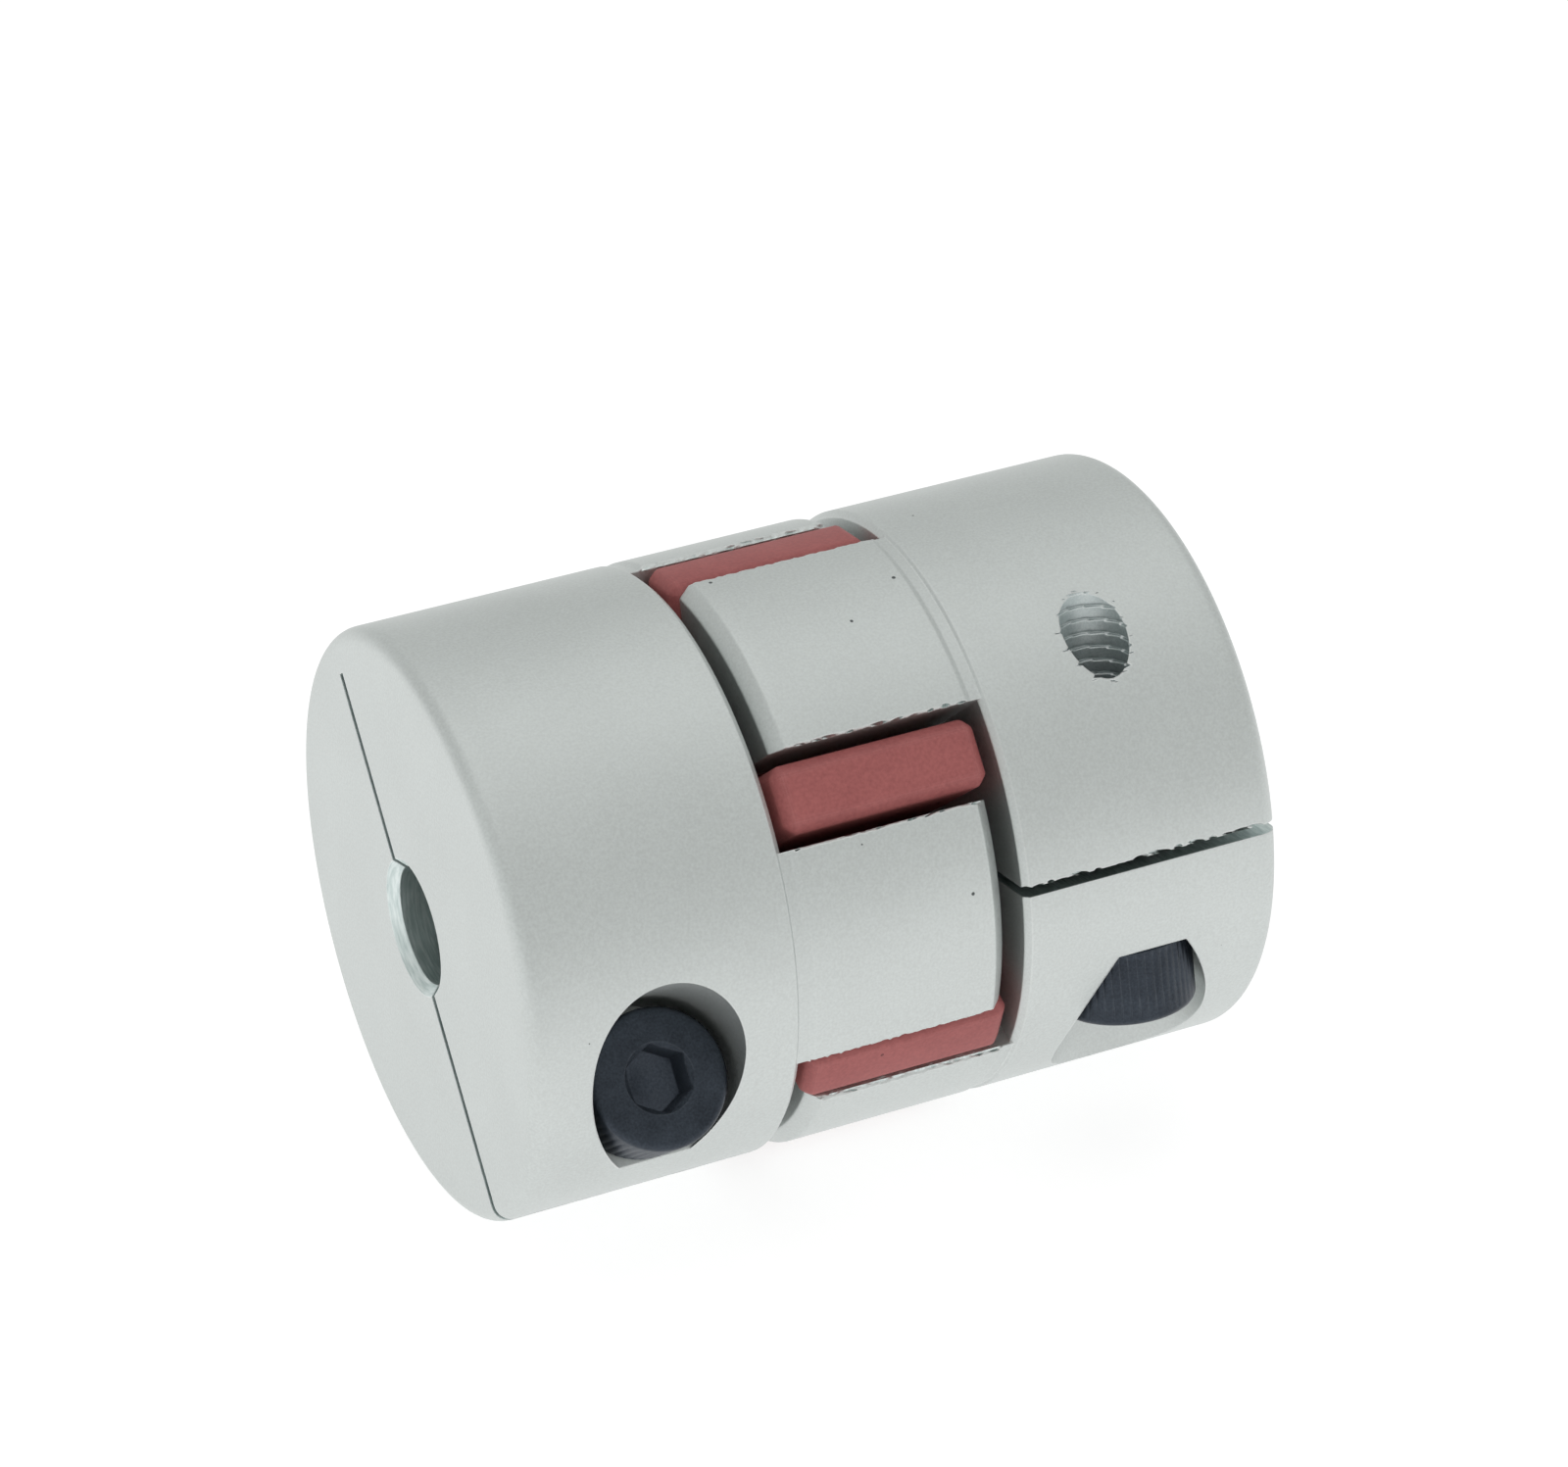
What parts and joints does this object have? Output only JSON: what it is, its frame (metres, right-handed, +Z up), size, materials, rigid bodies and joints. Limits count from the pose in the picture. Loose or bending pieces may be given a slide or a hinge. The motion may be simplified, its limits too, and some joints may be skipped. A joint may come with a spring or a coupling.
{
  "type": "jaw coupling",
  "caption": "Clamping jaw shaft coupling: slit aluminium hubs with interlocking jaws, an elastomer spider between them, and a socket-head clamp screw in each hub.",
  "frame": {"origin": "middle of the coupling on the shaft axis, halfway between the two end faces", "axes": "+X along the shaft axis from the drive hub to the driven hub, +Z up; the drive hub's slit opens 49 degrees below -Y"},
  "size_m": [0.04, 0.0308, 0.03],
  "materials": {
    "hub_aluminium": "bead-blasted and clear anodised, satin",
    "spider_elastomer": "matte cast polyurethane",
    "black_steel": "black oxide, slightly oily"
  },
  "bodies": {
    "drive_hub": {"drive_hub": "hub_aluminium"},
    "spider": {"spider": "spider_elastomer"},
    "driven_hub": {"driven_hub": "hub_aluminium"},
    "drive_clamp_screw": {"drive_clamp_screw": "black_steel"},
    "driven_clamp_screw": {"driven_clamp_screw": "black_steel"}
  },
  "joints": [
    {"name": "pull_apart", "type": "slide", "parent": "drive_hub", "child": "spider", "axis": [1, 0, 0], "range_m": [-0.0004, 0.012]},
    {"name": "twist_play", "type": "hinge", "parent": "spider", "child": "driven_hub", "pos_m": [0, 0, 0], "axis": [1, 0, 0], "range_deg": [0, 2.5]},
    {"name": "drive_screw_turn", "type": "hinge", "parent": "drive_hub", "child": "drive_clamp_screw", "pos_m": [-0.013, -0.00695, -0.008], "axis": [0, -0.7547, 0.6561], "range_deg": [0, 360]},
    {"name": "driven_screw_turn", "type": "hinge", "parent": "driven_hub", "child": "driven_clamp_screw", "pos_m": [0.013, -0.0103, 0.00248], "axis": [0, -0.2341, -0.9722], "range_deg": [0, 360]}
  ]
}
